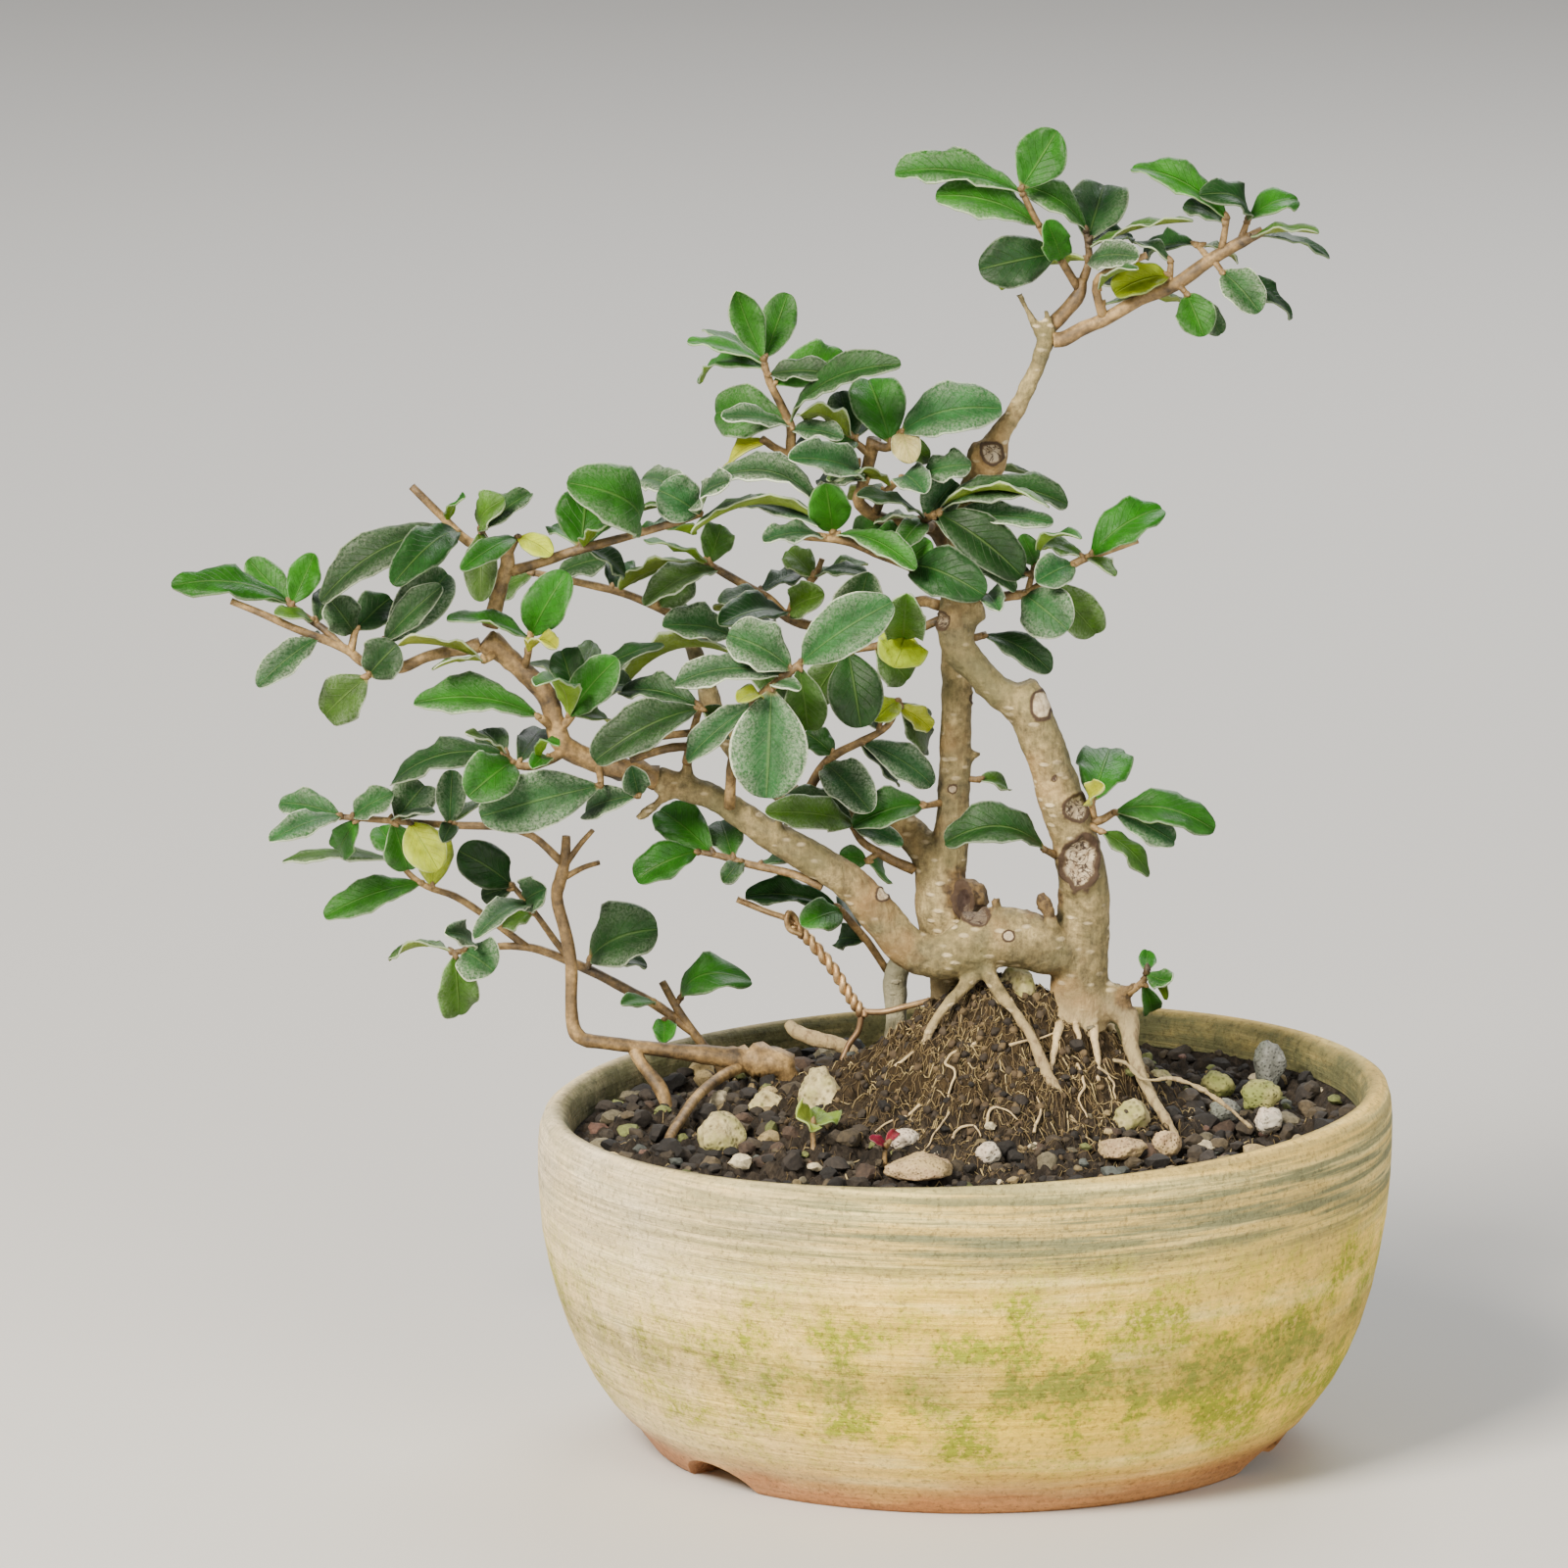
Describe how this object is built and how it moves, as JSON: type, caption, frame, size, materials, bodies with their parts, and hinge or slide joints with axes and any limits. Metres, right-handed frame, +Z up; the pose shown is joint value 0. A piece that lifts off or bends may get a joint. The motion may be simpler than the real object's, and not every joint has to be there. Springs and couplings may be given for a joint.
{
  "type": "wild privet bonsai",
  "caption": "Potted wild privet bonsai: bent trunks on an open root mound, airy sprays of small leaves reaching left, in a round cream stoneware bowl with an arched foot ring.",
  "frame": {"origin": "middle of the bounding box in X and Y, at the underside of the foot ring", "axes": "+Z up, -Y towards the viewer of the picture, +X to the viewer's right"},
  "size_m": [0.2132, 0.15, 0.233],
  "materials": {
    "stoneware": "matt cream glaze with grey-green and yellow-green weathering",
    "plastic_mesh": "black plastic drain mesh",
    "soil": "dark grit and loam with fine roots",
    "bark": "greyish tan bark with pale lenticels",
    "leaves": "green twigs and leaves with a low sheen and a pale hairy rim",
    "copper_wire": "dulled copper tie wire",
    "pumice": "rough tan pumice",
    "grey_stone": "grey grit stone"
  },
  "bodies": {
    "root": {"pot": "stoneware", "drain_mesh": "plastic_mesh", "soil": "soil", "tree_wood": "bark", "tie_wire": "copper_wire", "spray_apex": "leaves", "spray_apex_right": "leaves", "spray_left_shoot": "leaves", "branch_crown": "leaves", "spray_front_shoot": "leaves", "spray_right": "leaves", "spray_hanging": "leaves", "spray_back_left": "leaves", "spray_back_low": "leaves", "spray_front_mid": "leaves", "spray_middle": "leaves", "spray_middle_high": "leaves", "spray_below": "leaves", "spray_low_dark": "leaves", "spray_under": "leaves", "spray_grey_root": "leaves", "spray_c_front": "leaves", "branch_left": "leaves", "spray_tip": "leaves", "spray_top_left": "leaves", "spray_top_mid": "leaves", "spray_back_twig": "leaves", "stem_left": "leaves", "stem_low": "leaves", "spray_trunk_right": "leaves", "spray_trunk_left": "leaves", "spray_trunk_b": "leaves", "shoot_base": "leaves", "horn_root": "bark", "stone_pumice_big": "grey_stone", "stone_pumice_left": "pumice", "stone_left_small": "pumice", "stone_flat_tan": "grey_stone", "stone_white_left": "pumice", "stone_white_front": "pumice", "stone_tan_right": "grey_stone", "stone_grey_back": "pumice", "stone_yellow_right": "pumice", "stone_right_low": "grey_stone", "stone_right_mid": "pumice", "stone_right_light": "pumice", "stone_flat_front": "grey_stone", "stone_pink_right": "pumice", "stone_edge_right": "pumice", "stone_under_trunk": "grey_stone", "weed_clover": "leaves", "weed_red": "leaves"}
  },
  "joints": []
}
